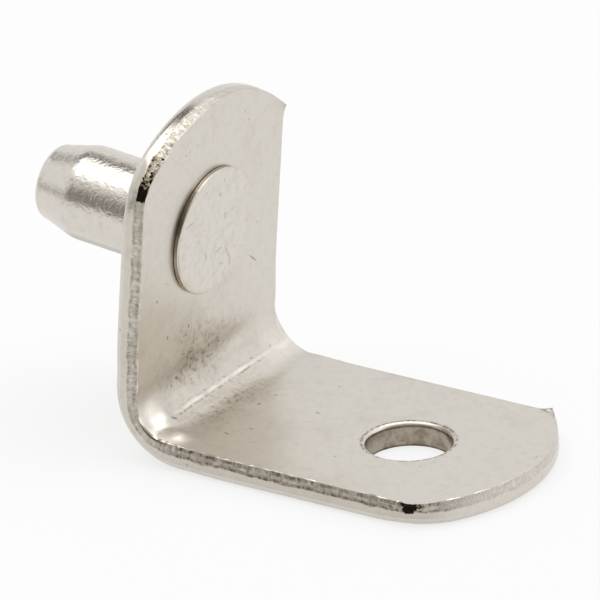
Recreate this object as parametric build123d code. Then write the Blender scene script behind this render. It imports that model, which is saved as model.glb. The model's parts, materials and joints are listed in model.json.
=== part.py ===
"""Shelf support pin: a bent steel strip whose upright plate carries a headed peg.

The peg plugs into a hole in a cabinet's side, the plate's outer face lies against that side, and the
shelf rests on the leg, held by a screw from below. Two pieces: the bent strip, and the peg, which is
pressed through the plate from the shelf side until its flat head seats.

Frame: the origin is where the peg's axis crosses the plate's outer face, +X runs along the leg away from
the cabinet's side, +Y across the strip, +Z up, square to the leg. Millimetres.
"""
import os
from math import cos, radians, sin

from build123d import *

# strip
strip_width = 16.0
strip_thickness = 1.6
leg_length = 26.0            # outer corner of the bend to the tip of the leg's rounded end
plate_height = 22.1          # outer corner of the bend to the top of the plate's rounded end
end_radius = 11.0            # both ends are cut to this radius, larger than half the width
edge_roll_radius = 0.5       # rolled edge that the shears leave all round the outer face

# bend
bend_angle = 84.4            # inside angle between leg and plate, bent a little past square
bend_outer_radius = 4.9
bend_inner_radius = 2.8

# screw hole in the leg
screw_hole_diameter = 5.4
screw_hole_from_end = 8.9    # hole centre to the tip of the leg
screw_hole_rim_radius = 0.38  # rounded rim on the shelf side, where the punch went in

# peg
peg_from_end = 9.2           # peg axis to the top of the plate
peg_diameter = 6.1           # for a quarter inch hole
peg_length = 10.05            # outer face of the plate to the tip
peg_straight_length = 7.4    # full diameter up to here, then the taper
peg_root_diameter = 6.7      # under the head: the peg widens through the plate, so it wedges in its hole
peg_taper_length = 2.15
peg_taper_end_diameter = 4.9
peg_tip_round = 0.45         # how far the rounded edge of the tip cuts in from the taper
head_diameter = 8.3          # flat head on the shelf side
head_height = 0.35
head_offset = 0.25           # the head was struck this far off the peg's axis, towards the plate's end
head_edge_radius = 0.12

# directions and the reference corner, all in the XZ plane
lean = radians(90 - bend_angle)
plate_up = Vector(sin(lean), 0, cos(lean))
plate_inward = Vector(cos(lean), 0, -sin(lean))   # out of the shelf side of the plate
leg_out = Vector(1, 0, 0)
leg_up = Vector(0, 0, 1)
across = Vector(0, 1, 0)
outer_corner = plate_up * (peg_from_end - plate_height)   # where leg and plate faces would meet
peg_axis = Axis((0, 0, 0), plate_inward * -1)
peg_lathe = Plane(origin=(0, 0, 0), x_dir=plate_inward * -1, z_dir=across)


def in_profile(point):
    """A point of the XZ plane in the profile sketch's own coordinates."""
    return (point.X, point.Z)


def bent_strip():
    """The strip's section along the middle, filleted at the bend and extruded to its width."""
    leg_end = outer_corner + leg_out * leg_length
    plate_end = outer_corner + plate_up * plate_height
    # the inner faces meet where both are one thickness in from the outer faces
    run_in = strip_thickness * (1 + sin(lean)) / cos(lean)
    inner_corner = outer_corner + leg_out * run_in + leg_up * strip_thickness
    outline = [
        leg_end,
        outer_corner,
        plate_end,
        plate_end + plate_inward * strip_thickness,
        inner_corner,
        leg_end + leg_up * strip_thickness,
    ]
    section = make_face(Polyline([in_profile(p) for p in outline], close=True))
    outer = section.vertices().sort_by_distance(in_profile(outer_corner) + (0,))[0]
    section = fillet(outer, bend_outer_radius)
    inner = section.vertices().sort_by_distance(in_profile(inner_corner) + (0,))[0]
    section = fillet(inner, bend_inner_radius)
    return extrude(Plane.XZ * section, strip_width / 2, both=True)


def end_waste(tip, along, normal):
    """What is cut away outside the rounded end of a limb whose tip is at the given point."""
    centre = Plane(origin=tip - along * end_radius, x_dir=along, z_dir=normal)
    beyond = 2 * strip_width
    blank = Rectangle(beyond, beyond, align=(Align.MIN, Align.CENTER))
    return extrude(centre * (blank - Circle(end_radius)), 2 * strip_thickness, both=True)


def outer_rim(strip):
    """The edges all round the outer side, which are those that its three faces don't share."""
    underside = strip.faces().sort_by(Axis.Z)[0]
    back = strip.faces().filter_by(GeomType.PLANE).sort_by(Axis(outer_corner, plate_inward))[0]
    turn = max(
        strip.faces().filter_by(GeomType.CYLINDER).filter_by(lambda f: f.normal_at().dot(leg_up) < 0),
        key=lambda f: abs(f.radius - end_radius),
    )
    edges = underside.edges() + turn.edges() + back.edges()
    return [e for e in edges if sum(e.is_same(other) for other in edges) == 1]


def angle_bracket():
    """The stamped strip: rounded ends, rolled outer edges, the screw hole and the peg's hole."""
    strip = bent_strip()
    leg_tip = outer_corner + leg_out * leg_length
    plate_tip = outer_corner + plate_up * plate_height
    strip -= end_waste(leg_tip, leg_out, leg_up)
    strip -= end_waste(plate_tip, plate_up, plate_inward)
    strip = fillet(outer_rim(strip), edge_roll_radius)

    hole_centre = leg_tip - leg_out * screw_hole_from_end
    through_leg = Plane(origin=hole_centre, x_dir=leg_out, z_dir=leg_up)
    strip -= extrude(through_leg * Circle(screw_hole_diameter / 2), 2 * strip_thickness, both=True)
    rim_centre = hole_centre + leg_up * strip_thickness
    circles = strip.edges().filter_by(GeomType.CIRCLE)
    rim = circles.sort_by(lambda e: (e.arc_center - rim_centre).length + abs(e.radius - screw_hole_diameter / 2))
    strip = fillet(rim[0], screw_hole_rim_radius)

    past_faces = 0.5
    hole_slope = (peg_root_diameter - peg_diameter) / 2 / strip_thickness
    hole_outline = Polyline(
        (-strip_thickness - past_faces, 0),
        (-strip_thickness - past_faces, peg_root_diameter / 2 + hole_slope * past_faces),
        (past_faces, peg_diameter / 2 - hole_slope * past_faces),
        (past_faces, 0),
        (-strip_thickness - past_faces, 0),
    )
    strip -= revolve(peg_lathe * make_face(hole_outline), axis=peg_axis)
    return strip


def peg():
    """The cold-formed peg: shank, taper and rounded tip turned about its axis, and the flat head."""
    peg_radius = peg_diameter / 2
    taper_end = peg_straight_length + peg_taper_length
    taper_radius = peg_taper_end_diameter / 2
    tip_radius = taper_radius - peg_tip_round
    middle_of_round = (
        taper_end + (peg_length - taper_end) * sin(radians(45)),
        taper_radius - peg_tip_round * (1 - cos(radians(45))),
    )
    outline = [
        Polyline(
            (-strip_thickness, 0),
            (-strip_thickness, peg_root_diameter / 2),
            (0, peg_radius),
            (peg_straight_length, peg_radius),
            (taper_end, taper_radius),
        ),
        ThreePointArc((taper_end, taper_radius), middle_of_round, (peg_length, tip_radius)),
        Polyline((peg_length, tip_radius), (peg_length, 0), (-strip_thickness, 0)),
    ]
    shank = revolve(peg_lathe * make_face(outline), axis=peg_axis)

    head_seat = Plane(
        origin=plate_inward * strip_thickness + plate_up * head_offset,
        x_dir=plate_up,
        z_dir=plate_inward,
    )
    head = extrude(head_seat * Circle(head_diameter / 2), head_height)
    top_edge = head.edges().sort_by(Axis((0, 0, 0), plate_inward))[-1]
    head = fillet(top_edge, head_edge_radius)
    return shank + head


os.makedirs("parts", exist_ok=True)
for name, piece in (("angle_bracket", angle_bracket()), ("peg", peg())):
    piece.label = name
    export_step(piece, f"parts/{name}.step")
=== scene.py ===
"""Looks of the shelf support pin: a bent steel strip with a headed peg, both nickel plated.

The strip is made as a press shop makes it: a flat blank is cut to its outline, its holes are punched, the
shears leave their rolled and torn edges, and the blank is folded. The peg is turned about its axis and
gets its flat head. Sizes are in millimetres and are written to the meshes in metres.
"""
import json
import math

import bmesh
import bpy
from mathutils import Matrix, Vector, noise


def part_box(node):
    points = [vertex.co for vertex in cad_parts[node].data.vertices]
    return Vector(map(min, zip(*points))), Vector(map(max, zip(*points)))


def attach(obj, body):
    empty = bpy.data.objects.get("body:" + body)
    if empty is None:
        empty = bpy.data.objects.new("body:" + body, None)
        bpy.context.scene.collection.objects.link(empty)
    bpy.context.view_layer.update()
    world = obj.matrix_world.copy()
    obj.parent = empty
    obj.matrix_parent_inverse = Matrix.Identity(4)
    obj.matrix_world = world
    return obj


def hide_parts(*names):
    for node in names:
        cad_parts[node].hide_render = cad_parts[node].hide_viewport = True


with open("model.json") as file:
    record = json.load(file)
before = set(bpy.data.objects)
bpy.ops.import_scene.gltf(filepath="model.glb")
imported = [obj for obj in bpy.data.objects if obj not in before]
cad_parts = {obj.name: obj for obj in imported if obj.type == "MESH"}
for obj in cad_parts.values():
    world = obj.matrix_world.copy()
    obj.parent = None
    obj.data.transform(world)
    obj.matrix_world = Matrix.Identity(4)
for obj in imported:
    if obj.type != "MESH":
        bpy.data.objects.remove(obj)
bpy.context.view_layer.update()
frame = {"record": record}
mm = 0.001
mounts = {mount["name"]: mount for mount in frame["record"]["mounts"]}


# The strip. It is one piece of flat steel stock, cut to length with both ends rounded, then folded a little
# past square. Its underside and its plate's outer face are the frame's own, so the fold lands on the frame.
strip_thickness = 1.6
strip_width = (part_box("angle_bracket")[1].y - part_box("angle_bracket")[0].y) / mm
leg_length = 26.0
plate_height = 22.1
end_radius = 11.0
end_shift = 0.1                                         # both ends were cut this far off the middle
bend_outer_radius = 4.9
bend_inner_radius = 2.8
rolled_edge = 0.5
screw_hole_radius = mounts["screw_hole"]["dims"]["r_mm"]
screw_hole_rim = 0.3
screw_hole_from_end = 8.9
peg_radius = mounts["peg"]["dims"]["r_mm"]
peg_from_end = 9.2

plate_inward = -Vector(mounts["cabinet_seat"]["axis"])
across = Vector((0, 1, 0))
plate_up = plate_inward.cross(across)
leg_out = Vector((1, 0, 0))
leg_up = Vector((0, 0, 1))
underside_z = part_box("angle_bracket")[0].z / mm
outer_corner = plate_up * (underside_z / plate_up.z)

turned = math.pi - plate_up.angle(leg_out)              # how far the fold turns the strip
corner_to_bend = bend_outer_radius * math.tan(turned / 2)
half_bend = bend_outer_radius * turned / 2              # along the outer face, from the middle of the bend
leg_tip = leg_length - corner_to_bend + half_bend
plate_tip = -(plate_height - corner_to_bend + half_bend)
screw_hole_at = leg_tip - screw_hole_from_end
peg_hole_at = plate_tip + peg_from_end
bend_centre = outer_corner + leg_out * corner_to_bend + leg_up * bend_outer_radius


def crowded(cells, start, stop, power=1.0):
    """Places from start to stop, stop included, closer together towards stop."""
    return [stop + (start - stop) * (1 - (i + 1) / cells) ** power for i in range(cells)]


def end_drop(side):
    """How far a rounded end falls back from its tip, at a place across the strip."""
    return end_radius - math.sqrt(end_radius ** 2 - (side - end_shift) ** 2)


hole_window = 4.0                                       # half of the square that each hole's rings fill
rim_crowding = 1.5                                      # the cells get finer towards the outline
half_width_cells = 40
half_bend_cells = 44
leg_cells = 30                                          # between the bend and the hole's window
plate_cells = 16
window_cells = 32
end_cells = 32
half_lines = crowded(half_width_cells, 0, 1, rim_crowding)
across_lines = [-strip_width / 2 * k for k in reversed(half_lines)] + [0]
across_lines += [strip_width / 2 * k for k in half_lines]
leg_lines = crowded(half_bend_cells, 0, half_bend)
leg_lines += crowded(leg_cells, half_bend, screw_hole_at - hole_window)
leg_lines += crowded(window_cells, screw_hole_at - hole_window, screw_hole_at + hole_window)
leg_lines += crowded(end_cells, screw_hole_at + hole_window, leg_tip, rim_crowding)
plate_lines = crowded(half_bend_cells, 0, -half_bend)
plate_lines += crowded(plate_cells, -half_bend, peg_hole_at + hole_window)
plate_lines += crowded(window_cells, peg_hole_at + hole_window, peg_hole_at - hole_window)
plate_lines += crowded(end_cells, peg_hole_at - hole_window, plate_tip, rim_crowding)
along_lines = list(reversed(plate_lines)) + [0] + leg_lines

blank = bmesh.new()
cells_along = len(along_lines) - 1
cells_across = len(across_lines) - 1
bmesh.ops.create_grid(blank, x_segments=cells_along, y_segments=cells_across, size=1)
for vert in blank.verts:
    along = along_lines[round((vert.co.x + 1) / 2 * cells_along)]
    side = across_lines[round((vert.co.y + 1) / 2 * cells_across)]
    for start, tip in ((screw_hole_at + hole_window, leg_tip), (peg_hole_at - hole_window, plate_tip)):
        share = (along - start) / (tip - start)
        if share > 0:
            along -= share * math.copysign(end_drop(side), tip)
    vert.co = (along, side, strip_thickness)


ring_shares = (0.75, 0.55, 0.39, 0.27, 0.18, 0.11, 0.055, 0.02, 0.0)    # of the way from rim to window
past_corners = 1.6                                      # reaches over a window's corners, of half its width


def punch(centre, radius):
    """Opens a round hole: the cells in its window go, and rings run from the window to the rim."""
    middle = Vector((centre, 0, strip_thickness))
    waste = []
    for face in blank.faces:
        place = face.calc_center_median() - middle
        if max(abs(place.x), abs(place.y)) < hole_window:
            waste.append(face)
    bmesh.ops.delete(blank, geom=waste, context="FACES")
    reach = hole_window * past_corners
    loop = [e for e in blank.edges if e.is_boundary and (e.verts[0].co - middle).length < reach]
    for left in ring_shares:
        grown = bmesh.ops.extrude_edge_only(blank, edges=loop)["geom"]
        ring = [g for g in grown if isinstance(g, bmesh.types.BMVert)]
        loop = [g for g in grown if isinstance(g, bmesh.types.BMEdge) and g.is_boundary]
        for vert in ring:
            spoke = vert.co - middle
            window_reach = hole_window * spoke.length / max(abs(spoke.x), abs(spoke.y))
            vert.co = middle + spoke.normalized() * (radius + (window_reach - radius) * left)


punch(screw_hole_at, screw_hole_radius)
punch(peg_hole_at, peg_radius)

other_side = bmesh.ops.extrude_face_region(blank, geom=blank.faces[:])["geom"]
bmesh.ops.translate(
    blank,
    verts=[g for g in other_side if isinstance(g, bmesh.types.BMVert)],
    vec=(0, 0, -strip_thickness),
)
wall_rows = 14                                          # of cells, from face to face
uprights = [e for e in blank.edges if abs(e.verts[0].co.z - e.verts[1].co.z) > strip_thickness / 2]
bmesh.ops.subdivide_edges(blank, edges=uprights, cuts=wall_rows - 1)
bmesh.ops.recalc_face_normals(blank, faces=blank.faces[:])


# The cut edges. The shears roll the outer face's rim, burnish the next third of the wall and tear the rest,
# which leaves a rough dark band that leans in, and a burr along the inner rim. The two corners on one side
# are rounded by the cut, and the two on the other side carry a nib.
touching = 1e-4                                         # nearer than this is on it
burnish_to = 0.95
burnish_wander = 0.12
burnish_grain = 0.7                                     # features per millimetre, as the grains that follow
tear_lean = math.tan(math.radians(13))
tear_depth = 0.05
tear_full = 0.15                                        # past the burnish, where the tear has its full depth
tear_mean = 0.6                                         # its mean depth, of the roughness
tear_grain = 3.5
tear_grit = 8.0
grit_share = 0.6
far_side_share = 0.35
rim_reach = 0.7                                         # how far in from the rim the cut disturbs the face
corner_fade = 0.8                                       # a cut corner disturbs it this much further in
burr_height = 0.06
burr_crest = 0.09                                       # from the rim to the top of the burr
burr_mean = 0.45                                        # its mean height, of its full height
burr_waves = ((1.6, 1.5), (5.0, 0.7))                   # grain, share of the full height
burr_least = 0.05
burr_most = 1.3
nib_height = 0.26
nib_reach = 1.3
nib_rim = 0.5                                           # how far in from the rim a nib stands up
corner_turn = math.pi / 2 - math.asin((strip_width / 2 + end_shift) / end_radius)
corner_reach = 1.1                                      # along the rim, at the inner face
corner_reach_outer = 3.2

# how badly the wall is torn, of the worst, and how far from its near corner an end is torn worse
torn_at_bend = 0.4
torn_on_plate = 0.6
torn_on_leg_end = 0.12
torn_on_plate_end = 0.25
leg_corner_reach = 2.4
plate_corner_reach = 5.0

# painted dark reflection in the plate's near corner, with a trail along the plate's end, and a spot of it by
# the leg's corner
plate_dark_reach = 0.55
plate_dark_edge = 0.2
plate_dark_trail = 0.6
plate_dark_trail_reach = 4.6
leg_dark = 0.85
leg_dark_back = 0.35                                    # from the corner, back along the side
leg_dark_width = 0.3                                    # on the burnished band
leg_dark_spread = 0.75                                  # wider by this, per millimetre towards the inner face
leg_dark_trail = 0.2
leg_dark_trail_reach = 2.0
dark_rim_at = 0.9                                       # along, where the rim's shadow line is darkest
dark_rim_reach = 1.9


def held(value, low=0, high=1):
    """The value, or the limit that it passes."""
    return min(max(value, low), high)


def rim_of(along, side):
    """Distance in from the strip's outline, and the direction straight out of it."""
    best = (strip_width / 2 - abs(side), Vector((0, math.copysign(1, side), 0)))
    for tip, way in ((leg_tip, 1), (plate_tip, -1)):
        middle = Vector((tip - way * end_radius, end_shift, 0))
        spoke = Vector((along, side, 0)) - middle
        if spoke.x * way > 0 and end_radius - spoke.length < best[0]:
            best = (end_radius - spoke.length, spoke.normalized())
    return best


def rolled(radius, inward):
    """How far a rounded rim drops below its face, at a distance in from the rim."""
    return radius - math.sqrt(radius ** 2 - (radius - held(inward, 0, radius)) ** 2)


def corner_at(tip, side):
    """Where a rounded end meets a side of the strip."""
    side *= strip_width / 2
    return Vector((tip - math.copysign(end_drop(side), tip), side, 0))


def bell(value, middle, width):
    """1 at the middle, falling smoothly to nothing on both sides."""
    return math.exp(-((value - middle) / width) ** 2)


near_leg_corner = corner_at(leg_tip, -1)
near_plate_corner = corner_at(plate_tip, -1)
leg_dark_at = near_leg_corner - Vector((leg_dark_back, 0, 0))
nibs = [(corner_at(leg_tip, 1), 1.0), (corner_at(plate_tip, 1), 0.8)]


def torn_share(along, on_end, to_leg_corner, to_plate_corner):
    """How badly the wall is torn: along the leg's near side, and on both ends next to their near corners."""
    if on_end and along > 0:
        return torn_on_leg_end + (1 - torn_on_leg_end) * bell(to_leg_corner, 0, leg_corner_reach)
    if on_end:
        return torn_on_plate_end + (1 - torn_on_plate_end) * bell(to_plate_corner, 0, plate_corner_reach)
    if along > 0:
        return min(torn_at_bend + along / half_bend * (1 - torn_at_bend), 1)
    return torn_on_plate


def corner_dark_share(here, depth, on_end, to_leg_corner, to_plate_corner):
    """How much painted dark reflection a place of the wall gets."""
    painted_corner_dark = held((plate_dark_reach - to_plate_corner) / plate_dark_edge)
    if on_end:
        painted_corner_dark += plate_dark_trail * max(1 - to_plate_corner / plate_dark_trail_reach, 0)
    spot_width = leg_dark_width + leg_dark_spread * max(depth - burnish_to, 0)
    painted_corner_dark = max(painted_corner_dark, leg_dark * bell((here - leg_dark_at).length, 0, spot_width))
    return painted_corner_dark + leg_dark_trail * max(1 - to_leg_corner / leg_dark_trail_reach, 0)


flat_layer = blank.verts.layers.float_vector.new("flat_place")
depth_layer = blank.verts.layers.float.new("depth")
wall_layer = blank.verts.layers.float.new("cut_edge")   # 1 on the outline's wall, 0.5 on the screw hole's
tear_layer = blank.verts.layers.float.new("tear")
corner_dark_layer = blank.verts.layers.float.new("corner_dark")
rim_layer = blank.verts.layers.float.new("dark_rim")
hole_layer = blank.verts.layers.float.new("from_hole")
for vert in blank.verts:
    along, side, depth = vert.co
    here = Vector((along, side, 0))
    inward, outward = rim_of(along, side)
    share = depth / strip_thickness
    vert[depth_layer] = depth
    screw_gap = math.hypot(along - screw_hole_at, side) - screw_hole_radius
    on_wall = inward < touching
    on_inner_face = share > 1 - touching
    if on_wall:
        depth = rolled_edge + share * (strip_thickness - rolled_edge)
        vert[depth_layer] = depth
        vert[wall_layer] = 1.0
    elif share < touching:
        depth = rolled(rolled_edge, inward)
    if abs(screw_gap) < touching:
        depth = share * (strip_thickness - screw_hole_rim)
        vert[wall_layer] = 0.5
    elif on_inner_face:
        depth = strip_thickness - rolled(screw_hole_rim, screw_gap)

    on_end = outward.x != 0
    to_leg_corner = (here - near_leg_corner).length
    to_plate_corner = (here - near_plate_corner).length
    tear = torn_share(along, on_end, to_leg_corner, to_plate_corner)
    vert[tear_layer] = tear
    vert[corner_dark_layer] = corner_dark_share(here, vert[depth_layer], on_end, to_leg_corner, to_plate_corner)
    vert[hole_layer] = screw_gap
    vert[rim_layer] = bell(along, dark_rim_at, dark_rim_reach) if side < 0 and not on_end else 0.0
    vert[flat_layer] = Vector((along, side, depth if not on_wall else vert[depth_layer])) * mm

    if inward < rim_reach + corner_fade:
        low = 1 - held((depth - rolled_edge) / (strip_thickness - rolled_edge))
        reach = corner_reach + (corner_reach_outer - corner_reach) * low
        corner_share = held(rim_reach + corner_fade - inward) ** 2
        for distance, way in ((to_leg_corner, -1), (to_plate_corner, 1)):
            if distance < reach:
                set_back = reach / 2 * math.tan(corner_turn / 2) * (1 - distance / reach) ** 2
                inside = Vector((way * math.sin(corner_turn / 2), math.cos(corner_turn / 2), 0))
                vert.co += inside * set_back * corner_share
        past_burnish = max(depth - burnish_to - burnish_wander * noise.noise(here * burnish_grain), 0)
        rough = noise.noise(Vector((along, side, depth)) * tear_grain)
        rough += grit_share * noise.noise(vert.co * tear_grit)
        lean = past_burnish * tear_lean
        lean += tear_depth * min(past_burnish / tear_full, 1) * tear * (tear_mean + rough)
        if side > 0:
            lean *= far_side_share
        edge_share = max(1 - inward / rim_reach, 0) ** 2
        vert.co -= outward * lean * edge_share * (1 if on_wall or share > 0.5 else 0)
    if on_inner_face and inward < 2 * burr_crest:
        crest = 1 - abs(inward / burr_crest - 1)
        uneven = burr_mean + sum(wave * noise.noise(here * grain) for grain, wave in burr_waves)
        crest *= held(uneven, burr_least, burr_most)
        depth += burr_height * (far_side_share if side > 0 else 1) * crest
    if on_inner_face:
        for corner, size in nibs:
            near = (here - corner).length / nib_reach
            if near < 1:
                depth += nib_height * size * max(1 - inward / nib_rim, 0) ** 2 * (1 - near) ** 2
    vert.co.z = depth


# The fold. A press bends the blank round a narrow nose, which leaves a fine crease along the inside of the
# bend, a little askew. The bend is tightest in its middle and eases out into the flats. The crease runs out
# before the near edge, where the crowded metal stands up in two low mounds and bulges sideways.
crease_reach = 1.0                                      # the bend is flattened this far on both sides of it
crease_round = 0.13
crease_fold = 0.07                                      # slope of its two sides, over and above flat
crease_offset = 0.36
crease_wander = 0.05
crease_grain = 0.9                                      # features per millimetre
crease_slice = 3.1                                      # through the noise that it wanders by
crease_start = 1.8                                      # in from the near edge, and it comes in as slowly
crease_far_share = 0.3                                  # what is left of it at the far edge
crease_far_reach = 2.0
ease_width = 1.7
ease_on_plate = 0.12
ease_on_leg = 0.09
tight_middle = 0.02
tight_width = 1.2
mounds = [                                              # along, in from the near edge, height, half width
    (0.05, 1.95, 0.35, 0.8),
    (2.45, 1.1, 0.42, 0.9),
]
mound_length = 1.3
far_mound = 0.12
far_mound_width = 1.7
far_mound_length = 2.2
rim_drop = 0.12
rim_drop_reach = 0.4
rim_drop_curve = 1.7
rim_drop_at = 0.6                                       # along
rim_drop_length = 2.6
edge_bulge = 0.17
bulge_reach = 1.5
far_bulge_share = 0.8
thickest = 1.1                                          # of the thickness, where burrs and nibs stand up


def inner_reach(turn):
    """From the bend's centre to the inner surface, along a ray that has turned so far from the leg."""
    gap = (bend_outer_radius - strip_thickness - bend_inner_radius) / math.cos(turned / 2)
    off = turn - turned / 2
    tangent = turned / 2 - math.atan2(gap * math.sin(turned / 2), bend_outer_radius - strip_thickness)
    if abs(off) > tangent:
        return (bend_outer_radius - strip_thickness) / math.cos(turned / 2 - abs(off))
    return gap * math.cos(off) + math.sqrt(bend_inner_radius ** 2 - (gap * math.sin(off)) ** 2)


def past_crease(along, side):
    """Distance along the strip from the crease, which wanders a little."""
    wander = crease_wander * noise.noise(Vector((side * crease_grain, crease_slice, 0)))
    return along - crease_offset - wander


def raised(along, side):
    """How far the inner face stands up near the bend."""
    from_near_edge = side + strip_width / 2
    from_far_edge = strip_width / 2 - side
    fade = held((from_near_edge - crease_start) / crease_start)
    fade *= min(crease_far_share + from_far_edge / crease_far_reach, 1)
    off = math.hypot(past_crease(along, side), crease_round)
    inside = bend_inner_radius / bend_outer_radius
    up = -(inside * max(crease_reach - off, 0)) ** 2 / (2 * bend_inner_radius) * fade
    up -= crease_fold * max(crease_reach - off, 0) * fade
    for at, far_in, high, half_width in mounds:
        up += high * bell(along, at, mound_length) * bell(from_near_edge, far_in, half_width)
    up += far_mound * bell(from_far_edge, 0, far_mound_width) * bell(along, 0, far_mound_length)
    drop = max(1 - from_near_edge / rim_drop_reach, 0) ** rim_drop_curve
    return up - rim_drop * drop * bell(along, rim_drop_at, rim_drop_length)


def folded(along, side, depth):
    """Where a point of the blank goes when the strip is folded."""
    ease = ease_on_plate * bell(along, -half_bend, ease_width)
    ease += ease_on_leg * bell(along, half_bend, ease_width)
    ease -= tight_middle * bell(along, 0, tight_width)
    share = held(depth / strip_thickness, 0, thickest)
    up = raised(along, side) * share ** 2
    if along >= half_bend:
        place = leg_out * (along - half_bend + corner_to_bend) + leg_up * (depth + ease + up)
        return outer_corner + place + across * side
    if along <= -half_bend:
        place = plate_up * (-along - half_bend + corner_to_bend) + plate_inward * (depth + ease + up)
        return outer_corner + place + across * side
    turn = (half_bend - along) / bend_outer_radius
    side_push = edge_bulge * math.cos((turn / turned - 0.5) * math.pi) ** 2 * share ** 2
    side -= side_push * max(1 - (side + strip_width / 2) / bulge_reach, 0)
    side += side_push * far_bulge_share * max(1 - (strip_width / 2 - side) / bulge_reach, 0)
    reach = bend_outer_radius - ease - up - share * (bend_outer_radius - inner_reach(turn))
    ray = leg_out * -math.sin(turn) + leg_up * -math.cos(turn)
    return bend_centre + ray * reach + across * side


# Where the press scuffed the inside of the bend, under a mottled film of painted shade, and where highlights
# are painted as brighter colour: on the two mounds, and along the crease, unevenly and less towards both
# edges.
scuffs_and_bend_shade = [                                              # along, side, half length, half width, share
    (-3.2, -1.2, 3.0, 3.8, 1.0),
    (2.5, -0.8, 2.1, 4.5, 0.8),
]
# Spots where highlights are painted as brighter colour, on the two mounds.
highlight_spots = [(0.1, 1.4), (2.7, 1.2)]                 # along, in from the near edge
highlight_reach = 0.75
highlight_line = 0.22                                      # half width along the crease
highlight_line_share = 0.95
highlight_mean = 0.62
highlight_wave = 0.6
highlight_grain = (1.1, 0.5)                               # features per millimetre, across and along
highlight_slice = 7.7                                      # through the noise that makes it uneven
line_start = 2.2                                        # in from the near edge
line_rise = 1.6
line_far_share = 0.2
line_far_reach = 4.5


def painted_highlight_share(along, side, off_crease):
    """How strongly a highlight is painted on the inner face, as brighter colour."""
    from_near_edge = side + strip_width / 2
    from_far_edge = strip_width / 2 - side
    shares = [
        bell(along, at, highlight_reach) * bell(from_near_edge, far_in, highlight_reach)
        for at, far_in in highlight_spots
    ]
    place = Vector((side * highlight_grain[0], along * highlight_grain[1], highlight_slice))
    line = highlight_line_share * (highlight_mean + highlight_wave * noise.noise(place))
    line *= held((from_near_edge - line_start) / line_rise)
    line *= min(from_far_edge / line_far_reach + line_far_share, 1)
    return max(*shares, line * bell(off_crease, 0, highlight_line))


crease_layer = blank.verts.layers.float.new("from_crease")
scuff_and_shade_layer = blank.verts.layers.float.new("scuffed_and_shaded")
highlight_layer = blank.verts.layers.float.new("painted_highlight")
for vert in blank.verts:
    along, side, depth = vert.co
    vert[crease_layer] = past_crease(along, side)
    if depth > strip_thickness / 2:
        vert[scuff_and_shade_layer] = max(
            share * bell(along, at, half_length) * bell(side, middle, half_width)
            for at, middle, half_length, half_width, share in scuffs_and_bend_shade
        )
        vert[highlight_layer] = painted_highlight_share(along, side, vert[crease_layer])
    vert.co = folded(along, side, depth) * mm
bmesh.ops.recalc_face_normals(blank, faces=blank.faces[:])
sharp_angle = math.radians(35)


def smoothed(body):
    """Shades a body smoothly, apart from its sharp edges."""
    for edge in body.edges:
        edge.smooth = edge.calc_face_angle(0) < sharp_angle
    for face in body.faces:
        face.smooth = True


def placed(body, name):
    """Puts a body in the scene as an object with a name."""
    mesh = bpy.data.meshes.new(name)
    body.to_mesh(mesh)
    body.free()
    made = bpy.data.objects.new(name, mesh)
    bpy.context.scene.collection.objects.link(made)
    return made


smoothed(blank)
bracket = placed(blank, "bent_strip")


def feed(tree, socket, value):
    """Gives a socket a number or a colour, or links another node's output to it."""
    if isinstance(value, bpy.types.NodeSocket):
        tree.links.new(value, socket)
    else:
        socket.default_value = value


def node(tree, kind, inputs=None, **settings):
    """A shader node with its settings, and its inputs by name or number."""
    made = tree.nodes.new(kind)
    for name, value in settings.items():
        setattr(made, name, value)
    for name, value in (inputs or {}).items():
        feed(tree, made.inputs[name], value)
    return made


def maths(tree, operation, *values):
    """The output of one Math node."""
    return node(tree, "ShaderNodeMath", dict(enumerate(values)), operation=operation).outputs[0]


def times(tree, first, *others):
    """The product of two or more values."""
    for other in others:
        first = maths(tree, "MULTIPLY", first, other)
    return first


def most(tree, first, *others):
    """The largest of two or more values."""
    for other in others:
        first = maths(tree, "MAXIMUM", first, other)
    return first


def added(tree, first, *others):
    """The sum of two or more values."""
    for other in others:
        first = maths(tree, "ADD", first, other)
    return first


def less(tree, value, taken):
    """A value less another."""
    return maths(tree, "SUBTRACT", value, taken)


def toward(tree, way, direction):
    """How far a vector reaches in a direction."""
    made = node(tree, "ShaderNodeVectorMath", {0: way, 1: direction}, operation="DOT_PRODUCT")
    return made.outputs["Value"]


def attribute(tree, name, output="Fac"):
    """What a layer of the mesh holds at each place."""
    return node(tree, "ShaderNodeAttribute", attribute_name=name).outputs[output]


def ramp(tree, value, zero_at, one_at, smooth=True):
    """0 up to one limit of a value and 1 from the other on, whichever of the two is the larger."""
    made = node(tree, "ShaderNodeMapRange", {"Value": value, "From Min": zero_at, "From Max": one_at})
    made.interpolation_type = "SMOOTHSTEP" if smooth else "LINEAR"
    return made.outputs["Result"]


def speckle(tree, place, scale, detail=3.0, rough=0.6, stretch=(1, 1, 1)):
    """Noise of a scale in features per metre."""
    spread = node(tree, "ShaderNodeMapping", {"Vector": place, "Scale": stretch})
    made = node(
        tree,
        "ShaderNodeTexNoise",
        {"Vector": spread.outputs["Vector"], "Scale": scale, "Detail": detail, "Roughness": rough},
    )
    return made.outputs["Fac"]


def mixed(tree, share, first, second):
    """A colour between two colours."""
    made = node(tree, "ShaderNodeMix", data_type="RGBA")
    for name, value in (("Factor_Float", share), ("A_Color", first), ("B_Color", second)):
        feed(tree, next(s for s in made.inputs if s.identifier == name), value)
    return next(s for s in made.outputs if s.identifier == "Result_Color")


band_core = 0.35                                        # a band is full this share of its half width


def band(tree, value, middle, width):
    """1 at the middle and 0 a width away on both sides."""
    off = maths(tree, "ABSOLUTE", less(tree, value, middle))
    return ramp(tree, off, width, width * band_core)


nickel = (0.69, 0.65, 0.59, 1)
nickel_worn = (0.56, 0.515, 0.45, 1)
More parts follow.
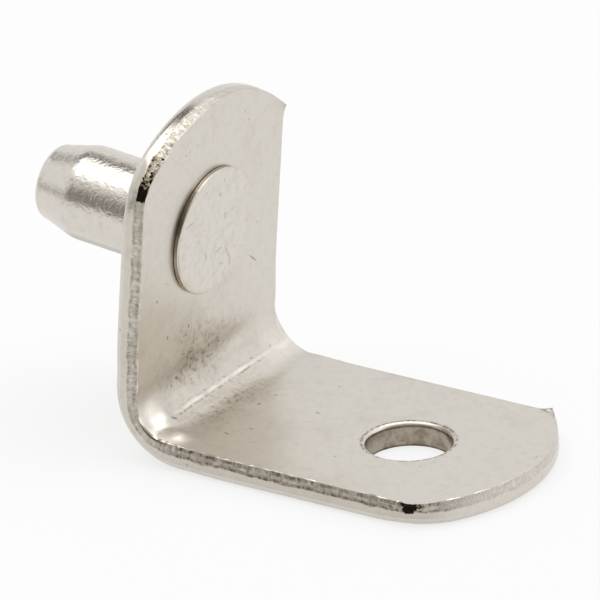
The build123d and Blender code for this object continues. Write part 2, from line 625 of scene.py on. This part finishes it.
# the brighter colour of painted highlights
painted_highlight_colour = (0.93, 0.91, 0.87, 1)
brown_dirt_and_shade = (0.25, 0.205, 0.145, 1)
black_pit_and_shade = (0.012, 0.009, 0.006, 1)
brown_at = 0.6                                          # dirt and painted shade are a share: clean at 0, brown here, black at 1
mark_depth = 0.4                                        # how far off the surface it still counts
mark_core = 0.45                                        # a mark is full this share of the way out


def mark(tree, place, spot, frame_turn, angle, length, width):
    """1 inside a small oval mark on a surface: its long side lies at an angle in the surface's frame."""
    turn = frame_turn @ Matrix.Rotation(math.radians(angle), 3, "Z")
    local = node(tree, "ShaderNodeMapping", {"Vector": place})
    local.vector_type = "TEXTURE"
    local.inputs["Location"].default_value = spot * mm
    local.inputs["Rotation"].default_value = turn.to_euler()
    local.inputs["Scale"].default_value = (length / 2 * mm, width / 2 * mm, mark_depth * mm)
    far = node(tree, "ShaderNodeVectorMath", {"Vector": local.outputs["Vector"]}, operation="LENGTH")
    return ramp(tree, far.outputs["Value"], 1.0, mark_core)


def marked(tree, place, frame_turns, spots, shapes):
    """1 inside any of the oval marks: each has its frame, its spot, and its angle, length and width."""
    ovals = [mark(tree, place, spot, turn, *shape) for turn, spot, shape in zip(frame_turns, spots, shapes)]
    return most(tree, *ovals)


blotch_scale = 300                                      # features per metre, as all scales that follow
mottle_scale = 1900
grain_scale = 7000
peel_scale = 2700
pit_scale = 1300
worn_share = 0.45
pit_rarity = 0.88                                       # the share of cells that have no pit
pit_shade = 0.3
pit_deep = 0.5
grain_rough = 0.12


def nickel_plate(name, gloss, grain, peel):
    """Barrel nickel on rough steel: a gloss (roughness), fine grain, orange peel, small pits and blotches."""
    made = bpy.data.materials.new(name)
    made.use_nodes = True
    tree = made.node_tree
    shader = tree.nodes["Principled BSDF"]
    shader.inputs["Metallic"].default_value = 1.0
    place = node(tree, "ShaderNodeTexCoord").outputs["Object"]
    blotch = speckle(tree, place, blotch_scale, 5)
    fine = speckle(tree, place, grain_scale, 3, 0.7)
    coarse = speckle(tree, place, peel_scale, 3, 0.6)
    mottle = speckle(tree, place, mottle_scale, 5, 0.75)
    worn = added(tree, ramp(tree, blotch, 0.5, 0.8), ramp(tree, mottle, 0.45, 0.72))
    colour = mixed(tree, times(tree, worn, worn_share), nickel, nickel_worn)

    cells = node(tree, "ShaderNodeTexVoronoi", {"Vector": place, "Scale": pit_scale})
    cell_number = node(tree, "ShaderNodeSeparateColor", {"Color": cells.outputs["Color"]}).outputs["Red"]
    chosen = maths(tree, "GREATER_THAN", cell_number, pit_rarity)
    pit = times(tree, chosen, ramp(tree, cells.outputs["Distance"], 0.16, 0.07))
    colour = mixed(tree, times(tree, pit, pit_shade), colour, black_pit_and_shade)

    rough = added(tree, gloss, times(tree, fine, grain_rough))
    height = added(tree, times(tree, fine, grain), times(tree, coarse, peel))
    height = less(tree, height, times(tree, pit, pit_deep))
    return made, tree, shader, place, colour, rough, height


height_unit = 0.01 * mm


def finish_plate(tree, shader, colour, rough, height, dirt_and_shade):
    """Joins a plate's colour, its dirt and painted shade, roughness and height to its shader."""
    colour = mixed(tree, ramp(tree, dirt_and_shade, 0.0, brown_at, smooth=False), colour, brown_dirt_and_shade)
    colour = mixed(tree, ramp(tree, dirt_and_shade, brown_at, 1.0, smooth=False), colour, black_pit_and_shade)
    bump = node(tree, "ShaderNodeBump", {"Height": height, "Strength": 1.0, "Distance": height_unit})
    tree.links.new(bump.outputs["Normal"], shader.inputs["Normal"])
    tree.links.new(colour, shader.inputs["Base Color"])
    tree.links.new(rough, shader.inputs["Roughness"])


strip_gloss = 0.26
strip_grain = 0.5
strip_peel = 0.55
strip_finish, tree, shader, place, colour, rough, height = nickel_plate(
    "nickel_on_strip", strip_gloss, strip_grain, strip_peel
)
depth = attribute(tree, "depth")
cut = attribute(tree, "cut_edge")
tear = attribute(tree, "tear")
corner_dark = attribute(tree, "corner_dark")
dark_rim = attribute(tree, "dark_rim")
flat_place = attribute(tree, "flat_place", "Vector")
from_crease = attribute(tree, "from_crease")
from_hole = attribute(tree, "from_hole")
scuffed_and_shaded = attribute(tree, "scuffed_and_shaded")
painted_highlight = attribute(tree, "painted_highlight")
inner_face = times(tree, ramp(tree, depth, 1.15, 1.25), ramp(tree, cut, 0.3, 0.1))
on_outline = ramp(tree, cut, 0.7, 0.95)
# Painted highlights: brighter colour on the two mounds and along the crease.
colour = mixed(tree, ramp(tree, painted_highlight, 0.2, 1.0), colour, painted_highlight_colour)

# Torn band: dotted brown lines where it meets the burnished band and under the burr, upright tears between,
# painted dark reflections in the corners, where the shears started and left off, and a painted shadow line
# under the inner rim by the bend. Ranges are depths below the outer face, and a line has its depth and its
# half width.
torn_range = (0.90, 1.02)
corner_dark_range = (0.84, 0.92)
torn_wander = 0.35
burnish_line = (1.03, 0.13)
burr_line = (1.46, 0.15)
shadow_line = (1.52, 0.10)
line_dirt = 0.46
torn_dirt = 0.19
tick_dirt = 0.34
corner_dark_on_tear = 0.5
wall_dirt = 0.16
rim_shadow_strength = 0.9
corner_dark_patches = 2.2
tick_stretch = (1, 1, 0.55)                             # drawn out from face to face

wander = times(tree, less(tree, speckle(tree, flat_place, 900, 2), 0.5), torn_wander)
level = added(tree, depth, wander)
dots = ramp(tree, speckle(tree, flat_place, 3300, 4, 0.7), 0.38, 0.66)
ticks = ramp(tree, speckle(tree, flat_place, 3900, 4, 0.75, tick_stretch), 0.40, 0.72)
torn = times(tree, ramp(tree, level, *torn_range), on_outline)
torn_ticks = times(tree, torn, ticks)
lines = added(tree, band(tree, level, *burnish_line), band(tree, depth, *burr_line))
lines = times(tree, lines, dots, on_outline)
dirt_and_shade = added(tree, times(tree, lines, line_dirt), times(tree, torn, torn_dirt))
dirt_and_shade = added(tree, dirt_and_shade, times(tree, torn_ticks, tick_dirt))
# The torn band is painted darker by the near corners, as dark reflection.
dirt_and_shade = added(tree, times(tree, dirt_and_shade, tear), times(tree, torn, corner_dark, corner_dark_on_tear))
dirt_and_shade = most(tree, dirt_and_shade, times(tree, on_outline, tear, wall_dirt))

# Painted dark reflections in the near corners, patchy.
patchy = times(tree, less(tree, speckle(tree, flat_place, 4400, 3, 0.6), 0.5), corner_dark_patches)
painted_corner_dark = ramp(tree, added(tree, corner_dark, patchy), 0.38, 0.52)
painted_corner_dark = times(tree, painted_corner_dark, ramp(tree, level, *corner_dark_range), on_outline, ramp(tree, corner_dark, 0.02, 0.15))
# A painted shadow line on the wall under the inner rim, by the bend.
rim_shadow = times(tree, band(tree, depth, *shadow_line), dark_rim, on_outline)
dirt_and_shade = most(tree, dirt_and_shade, painted_corner_dark, times(tree, rim_shadow, rim_shadow_strength))

# The screw hole: painted shade on its wall, brown, mottled and darkest at its foot, and a dotted painted dark
# line round its rim.
hole_wall_range = (0.03, 0.01)                          # out from the wall
hole_line = (0.27, 0.13)
hole_wall_shade = 0.42
hole_mottle_dirt = 0.18
hole_foot_shade = 0.25
hole_rim_shade = 0.5

hole_wall = ramp(tree, from_hole, *hole_wall_range)
rough_wall = ramp(tree, speckle(tree, flat_place, 1500, 4, 0.65), 0.40, 0.62)
foot = ramp(tree, depth, 0.22, 0.08)
hole_wall_darkness = added(tree, hole_wall_shade, times(tree, rough_wall, hole_mottle_dirt))
hole_wall_darkness = added(tree, hole_wall_darkness, times(tree, foot, hole_foot_shade))
hole_ring = times(tree, band(tree, from_hole, *hole_line), ramp(tree, dots, 0.0, 0.6), inner_face)
dirt_and_shade = most(tree, dirt_and_shade, times(tree, hole_wall, hole_wall_darkness), times(tree, hole_ring, hole_rim_shade))

# Scuffs of the press on both sides of the bend: small spots, and a mottled darker film that is painted shade.
# Painted shade also lies on both sides of the crease, between the mounds and the far edge.
spot_dirt = 0.58
bend_shade_strength = 0.2
crease_line = (0.29, 0.13)                              # on the leg's side: off the crease, half width
crease_line_above = (-0.27, 0.13)
above_share = 0.75
crease_shade = 0.42
crease_near_range = (-5.4 * mm, -4.4 * mm)              # across the strip
crease_far_range = (6.5 * mm, 3.5 * mm)

spots = ramp(tree, speckle(tree, place, 2500, 4, 0.72), 0.44, 0.61)
clouds = ramp(tree, speckle(tree, place, 520, 3, 0.6), 0.30, 0.60)
scuff = times(tree, spots, clouds, scuffed_and_shaded)
# Painted shade: a mottled darker film over the inside of the bend.
bend_shade_film = times(tree, clouds, scuffed_and_shaded, inner_face)
dirt_and_shade = most(tree, dirt_and_shade, times(tree, scuff, spot_dirt), times(tree, bend_shade_film, bend_shade_strength))
# Painted shade: dotted dark lines on both sides of the crease.
crease_shade_share = times(tree, band(tree, from_crease, *crease_line), ramp(tree, dots, 0.0, 0.9))
above_crease = times(tree, band(tree, from_crease, *crease_line_above), ramp(tree, dots, 0.1, 1.0))
crease_shade_share = most(tree, crease_shade_share, times(tree, above_crease, above_share))
side_place = node(tree, "ShaderNodeSeparateXYZ", {"Vector": place}).outputs["Y"]
crease_shade_share = times(tree, crease_shade_share, ramp(tree, side_place, *crease_near_range))
crease_shade_share = times(tree, crease_shade_share, ramp(tree, side_place, *crease_far_range))
dirt_and_shade = most(tree, dirt_and_shade, times(tree, crease_shade_share, inner_face, crease_shade))

# Nicks and specks, each an oval: its place along and across, its angle, length and width.
nick_dirt = 0.55
nicks = [
    (-9.09, -5.78, 0, 0.26, 0.22), (-6.02, -4.41, 0, 0.42, 0.16), (-5.87, -2.02, 0, 0.34, 0.18),
    (-5.37, -2.32, 35, 0.5, 0.14), (-3.35, 0.34, 20, 0.34, 0.24), (-3.08, 1.5, 70, 0.34, 0.2),
    (-2.19, -3.32, 15, 0.36, 0.26), (-2.12, -2.63, 60, 0.2, 0.15), (-1.83, -3.97, 110, 0.3, 0.14),
    (2.46, -2.27, 40, 0.42, 0.2), (1.80, -1.95, 60, 0.26, 0.16), (0.7, -5.3, 75, 0.75, 0.22),
    (3.19, -3.05, 0, 0.24, 0.16), (2.79, -1.75, 10, 0.24, 0.16), (2.72, -4.15, 90, 0.24, 0.14),
    (4.72, -0.03, 70, 0.4, 0.22), (6.22, -3.25, 20, 0.4, 0.16), (5.3, -4.6, -15, 0.7, 0.14),
    (-7.69, 5.24, 50, 1.5, 0.1), (4.92, 1.61, 0, 0.3, 0.14), (24.0, 1.73, 0, 0.2, 0.16),
    (8.60, 0.74, 0, 0.5, 0.14),
]
on_leg = Matrix((leg_out, across, leg_up)).transposed()
on_plate = Matrix((-plate_up, across, -plate_inward)).transposed()
nick_frames = [on_leg if nick[0] > 0 else on_plate for nick in nicks]
nick_spots = [Vector(folded(nick[0], nick[1], strip_thickness)) for nick in nicks]
marks = marked(tree, place, nick_frames, nick_spots, [nick[2:] for nick in nicks])
dirt_and_shade = most(tree, dirt_and_shade, times(tree, marks, nick_dirt))

torn_rough = 0.10
cut_polish = 0.10
tick_deep = 2.5
nick_deep = 1.2
rough = added(tree, rough, times(tree, torn, torn_rough))
rough = less(tree, rough, times(tree, ramp(tree, cut, 0.2, 0.6), cut_polish))
height = added(tree, height, times(tree, torn_ticks, tick_deep))
height = less(tree, height, times(tree, most(tree, scuff, marks), nick_deep))
finish_plate(tree, shader, colour, rough, height, dirt_and_shade)
bracket.data.materials.append(strip_finish)
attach(bracket, "root")
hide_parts("angle_bracket")


# The peg. It is cold formed from steel wire and barrel plated: a straight shank, a taper and a rounded tip.
# It goes through the plate from the shelf side, and the thin flat head stops it there, a little off centre.
peg_length = 10.05
peg_straight = 7.4
taper_end = 9.55
taper_radius = 2.45
blend_in = 0.3                                          # half of the round between the shank and its taper
tip_round = 0.45
head_radius = 4.15
head_height = 0.35
head_offset = 0.25
head_edge = 0.12
head_lift = 0.03                                        # the rim's underside stands a little off the plate
round_steps = 160
root_rings = 6                                          # rings of the flat faces
tip_rings = 12
head_rings = 24
shank_steps = 96                                        # steps along the shank and round the edges
tip_steps = 8
edge_steps = 5
same_place = 1e-5                                       # vertices nearer than this are one
head_foot = (0.5, 0.25)                                 # in from the rim, where it lies on the plate


def lathe_line(points):
    """A line of vertices and edges in the XZ plane, from distances along the axis and radii."""
    line = bmesh.new()
    last = None
    for height, radius in points:
        vert = line.verts.new((radius, 0, height))
        if last:
            line.edges.new((last, vert))
        last = vert
    return line


def turn_on_lathe(points):
    """Spins a line about the Z axis and closes its poles."""
    body = lathe_line(points)
    bmesh.ops.spin(
        body,
        geom=body.verts[:] + body.edges[:],
        cent=(0, 0, 0),
        axis=(0, 0, 1),
        angle=2 * math.pi,
        steps=round_steps,
        use_merge=True,
    )
    bmesh.ops.remove_doubles(body, verts=body.verts[:], dist=same_place)
    bmesh.ops.recalc_face_normals(body, faces=body.faces[:])
    return body


def arc_points(centre, radius_along, radius_out, start, stop, steps):
    """Points of an elliptic arc, by angle from straight out of the axis."""
    made = []
    for step in range(steps + 1):
        angle = math.radians(start + (stop - start) * step / steps)
        made.append((centre[0] + radius_along * math.sin(angle), centre[1] + radius_out * math.cos(angle)))
    return made


shank_line = [(-strip_thickness, peg_radius * step / root_rings) for step in range(root_rings + 1)]
taper_slope = (peg_radius - taper_radius) / (taper_end - peg_straight)
for step in range(shank_steps + 1):
    height = taper_end * step / shank_steps
    past = held(height - peg_straight + blend_in, 0, 2 * blend_in)
    lost = taper_slope * (past ** 2 / (4 * blend_in) + max(height - peg_straight - blend_in, 0))
    shank_line.append((height, peg_radius - lost))
tip_flat = taper_radius - tip_round
shank_line += arc_points((taper_end, tip_flat), peg_length - taper_end, tip_round, 0, 90, tip_steps)[1:]
shank_line += [(peg_length, tip_flat * (1 - step / tip_rings)) for step in range(1, tip_rings + 1)]
shank = turn_on_lathe(shank_line)

head_flat = head_radius - head_edge
head_line = [(0, head_radius - inward) for inward in head_foot] + [(head_lift, head_radius)]
head_line += arc_points((head_height - head_edge, head_flat), head_edge, head_edge, 0, 90, edge_steps)
head_line += [(head_height, head_flat * (1 - step / head_rings)) for step in range(1, head_rings + 1)]
head = turn_on_lathe(head_line)


def settle(body, origin, axis):
    """Turns a lathed body from the Z axis to its own axis and moves it to its place."""
    side = axis.cross(across)
    turn = Matrix((side, across, axis)).transposed().to_4x4()
    bmesh.ops.transform(body, matrix=Matrix.Translation(origin) @ turn, verts=body.verts[:])


settle(shank, Vector((0, 0, 0)), -plate_inward)
settle(head, plate_inward * strip_thickness + plate_up * head_offset, plate_inward)
for body in (shank, head):
    bmesh.ops.scale(body, vec=(mm, mm, mm), verts=body.verts[:])
    smoothed(body)
head_mesh = bpy.data.meshes.new("head_part")
head.to_mesh(head_mesh)
head.free()
shank.from_mesh(head_mesh)
bpy.data.meshes.remove(head_mesh)
bmesh.ops.recalc_face_normals(shank, faces=shank.faces[:])
peg = placed(shank, "headed_peg")

# Its plating is glossy, with more orange peel than the strip's. Shade is painted at the foot of the head and
# in a line round the top of its rim, and a dark reflection is painted over its wall, darkest on the near
# side. Real dirt lies in its marks. The underside of the shank is painted darker, as the reflection of the
# floor in its shadow. Ranges are in from the plate's outer face.
peg_gloss = 0.13
peg_grain = 1.3
peg_peel = 3.6
head_range = (1.3, 1.4)
shank_range = (0.0, -0.1)
foot_range = (1.70, 1.64)
wall_range = (1.90, 1.84)
top_line = (1.83, 0.05)
head_foot_shade = 0.6
head_top_line_shade = 0.5
head_wall_shade = 0.28
near_side_shade = 0.30                                       # over and above the rest of the head's wall
near_side_angle = math.radians(28)                          # up from the near side, round the head
near_side_range = (head_radius * 0.84 * mm, head_radius * 0.95 * mm)
underside_shade = 0.4
low_angle = math.radians(62)                            # down from the near side, round the shank
low_range = (peg_radius * 0.86 * mm, peg_radius * 0.98 * mm)
head_mark_dirt = 0.17
head_mark_deep = 1.5
head_mottle_dirt = 0.09

peg_finish, tree, shader, place, colour, rough, height = nickel_plate(
    "nickel_on_peg", peg_gloss, peg_grain, peg_peel
)
above = maths(tree, "DIVIDE", toward(tree, place, plate_inward), mm)
on_head = ramp(tree, above, *head_range)
near_side_way = plate_up * math.sin(near_side_angle) - across * math.cos(near_side_angle)
near_side_share = ramp(tree, toward(tree, place, near_side_way), *near_side_range)
head_wall_darkness = added(tree, head_wall_shade, times(tree, near_side_share, near_side_shade))
# Painted shade at the head's foot and in a line round its rim's top, and a painted dark reflection over its
# wall, darkest on the near side.
dirt_and_shade = most(
    tree,
    times(tree, ramp(tree, above, *foot_range), head_foot_shade),
    times(tree, band(tree, above, *top_line), head_top_line_shade),
    times(tree, ramp(tree, above, *wall_range), head_wall_darkness),
)
# Painted shade on the underside of the shank, as the reflection of the floor in its shadow.
low_way = plate_up * -math.sin(low_angle) - across * math.cos(low_angle)
underside_shade_share = ramp(tree, toward(tree, place, low_way), *low_range)
underside_shade_share = times(tree, underside_shade_share, ramp(tree, above, *shank_range))
dirt_and_shade = most(tree, times(tree, on_head, dirt_and_shade), times(tree, underside_shade_share, underside_shade))

# The head's marks: up from the peg's axis, across, angle, length and width.
head_marks = [
    (1.76, -2.93, 95, 1.4, 0.2), (0.90, 1.11, 0, 0.6, 0.42), (-1.9, 1.6, 29, 1.8, 0.3),
    (-2.6, 1.9, 0, 1.1, 0.3), (2.6, 0.4, 30, 0.55, 0.36), (-1.2, -0.9, 20, 0.8, 0.3),
    (-2.4, 0.9, 75, 0.8, 0.2), (-1.3, 0.6, 100, 1.0, 0.22),
]
head_top = plate_inward * (strip_thickness + head_height)
mark_frames = [on_plate] * len(head_marks)
mark_spots = [head_top + plate_up * one[0] + across * one[1] for one in head_marks]
head_marked = marked(tree, place, mark_frames, mark_spots, [one[2:] for one in head_marks])
head_mottle = times(tree, ramp(tree, speckle(tree, place, 2000, 4, 0.75), 0.45, 0.75), on_head)
dirt_and_shade = most(tree, dirt_and_shade, times(tree, head_marked, head_mark_dirt), times(tree, head_mottle, head_mottle_dirt))
height = less(tree, height, times(tree, head_marked, head_mark_deep))
finish_plate(tree, shader, colour, rough, height, dirt_and_shade)
peg.data.materials.append(peg_finish)
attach(peg, "root")
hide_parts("peg")


# The studio. The pin stands on white board in a light tent that is set square to the camera: a white wall
# behind it, a soft lamp close above, a panel on the right, and the darker room to the left and at the camera.
camera_azimuth = math.radians(33.75)
to_right = Vector((math.cos(camera_azimuth), math.sin(camera_azimuth), 0))
to_back = Vector((-math.sin(camera_azimuth), math.cos(camera_azimuth), 0))

floor_size = 0.6
floor_white = (0.8, 0.8, 0.8, 1)
floor_roughness = 0.9
plain_white = (1, 1, 1, 1)
paper_share = 0.72                                      # of plain white, where the floor is looked at
bpy.ops.mesh.primitive_plane_add(size=floor_size, location=(0, 0, underside_z * mm))
floor = bpy.context.object
floor.name = "floor"
floor_paint = bpy.data.materials.new("floor_paint")
floor_paint.use_nodes = True
tree = floor_paint.node_tree
floor_shader = tree.nodes["Principled BSDF"]
floor_shader.inputs["Base Color"].default_value = floor_white
floor_shader.inputs["Roughness"].default_value = floor_roughness
floor_shader.inputs["Specular IOR Level"].default_value = 0.0
rays = node(tree, "ShaderNodeLightPath").outputs
seen = most(tree, rays["Is Camera Ray"], rays["Is Glossy Ray"], rays["Is Transmission Ray"])
paper = node(tree, "ShaderNodeEmission", {"Color": plain_white, "Strength": 1.0})
lit = node(tree, "ShaderNodeMixShader", {"Fac": times(tree, seen, paper_share)})
tree.links.new(floor_shader.outputs["BSDF"], lit.inputs[1])
tree.links.new(paper.outputs["Emission"], lit.inputs[2])
tree.links.new(lit.outputs["Shader"], tree.nodes["Material Output"].inputs["Surface"])
floor.data.materials.append(floor_paint)

# The tent. Each part of it has a strength and its limits: how far to the right, to the back or up it starts,
# and where it is full, all of them from -1 to 1. Dark parts take light from the wall, the others add some.
wall_glow = 0.95
room_tint = (1, 0.93, 0.82, 1)
world = bpy.data.worlds.new("tent")
bpy.context.scene.world = world
world.use_nodes = True
tree = world.node_tree
tree.nodes.clear()
way = node(tree, "ShaderNodeTexCoord").outputs["Generated"]
upward = node(tree, "ShaderNodeSeparateXYZ", {"Vector": way}).outputs["Z"]
rightward = toward(tree, way, to_right)
backward = toward(tree, way, to_back)


def tent_part(strength, *limits):
    """The strength of a part of the tent, inside all of its limits."""
    return times(tree, strength, *[ramp(tree, reach, zero_at, one_at) for reach, zero_at, one_at in limits])


room = tent_part(0.74, (backward, -0.12, -0.42), (upward, -0.20, 0.05), (upward, 0.85, 0.35))
sill = tent_part(0.28, (rightward, 0.75, 0.85), (upward, 0.20, 0.06), (backward, 0.1, 0.2))
left_sill = tent_part(0.7, (rightward, -0.85, -0.93), (upward, 0.09, 0.05))
gap = tent_part(
    0.95, (backward, 0.42, 0.46), (backward, 0.76, 0.70), (upward, 0.60, 0.66), (rightward, 0.12, 0.0)
)
panel = tent_part(
    0.8, (rightward, 0.66, 0.76), (backward, 0.12, 0.0), (upward, 0.78, 0.68), (upward, -0.1, 0.0)
)
corner = tent_part(
    0.42, (rightward, 0.56, 0.62), (rightward, 0.80, 0.72), (upward, 0.44, 0.54), (backward, 0.25, 0.35)
)
room = most(tree, room, sill, left_sill)
level = times(tree, added(tree, wall_glow, panel, corner), less(tree, 1.0, most(tree, room, gap)))
tint = mixed(tree, room, plain_white, room_tint)
sky = node(tree, "ShaderNodeBackground", {"Color": tint, "Strength": level})
node(tree, "ShaderNodeOutputWorld", {"Surface": sky.outputs["Background"]})

lamp_glow = 1.42                                        # radiance, where the tent's wall is about 1
lamp_width = 0.42                                       # in metres, as the rest of it
lamp_length = 0.25
lamp_height = 0.30
lamp_to_right = -0.005
lamp_to_back = 0.035
lamp_data = bpy.data.lights.new("top_lamp", "AREA")
lamp_data.shape = "RECTANGLE"
lamp_data.size = lamp_width
lamp_data.size_y = lamp_length
lamp_data.energy = lamp_glow * math.pi * lamp_width * lamp_length
lamp = bpy.data.objects.new("top_lamp", lamp_data)
lamp.location = to_right * lamp_to_right + to_back * lamp_to_back + Vector((0, 0, lamp_height))
lamp.rotation_euler = (0, 0, camera_azimuth)
bpy.context.scene.collection.objects.link(lamp)

# The camera. It looks from the leg's end and the near side, from a long way off, so the view is nearly flat.
camera_elevation = math.radians(24.30)
camera_roll = math.radians(-2.17)
camera_distance = 825.0
camera_target = Vector((7.458, 1.001, -3.878))
frame_width = 37.25                                     # what the picture spans at the target
sensor_width = 36
nearest = 0.1                                           # what the camera sees, in metres
farthest = 10
back = Vector(
    (
        math.sin(camera_azimuth) * math.cos(camera_elevation),
        -math.cos(camera_azimuth) * math.cos(camera_elevation),
        math.sin(camera_elevation),
    )
)
level_up = back.cross(to_right)
right = to_right * math.cos(camera_roll) + level_up * math.sin(camera_roll)
up = back.cross(right)
camera_data = bpy.data.cameras.new("camera")
camera_data.sensor_width = sensor_width
camera_data.lens = sensor_width * camera_distance / frame_width
camera_data.clip_start = nearest
camera_data.clip_end = farthest
camera = bpy.data.objects.new("camera", camera_data)
camera_turn = Matrix((right, up, back)).transposed().to_4x4()
camera.matrix_world = Matrix.Translation((camera_target + back * camera_distance) * mm) @ camera_turn
bpy.context.scene.collection.objects.link(camera)
bpy.context.scene.camera = camera
bpy.context.scene.view_settings.view_transform = "Standard"
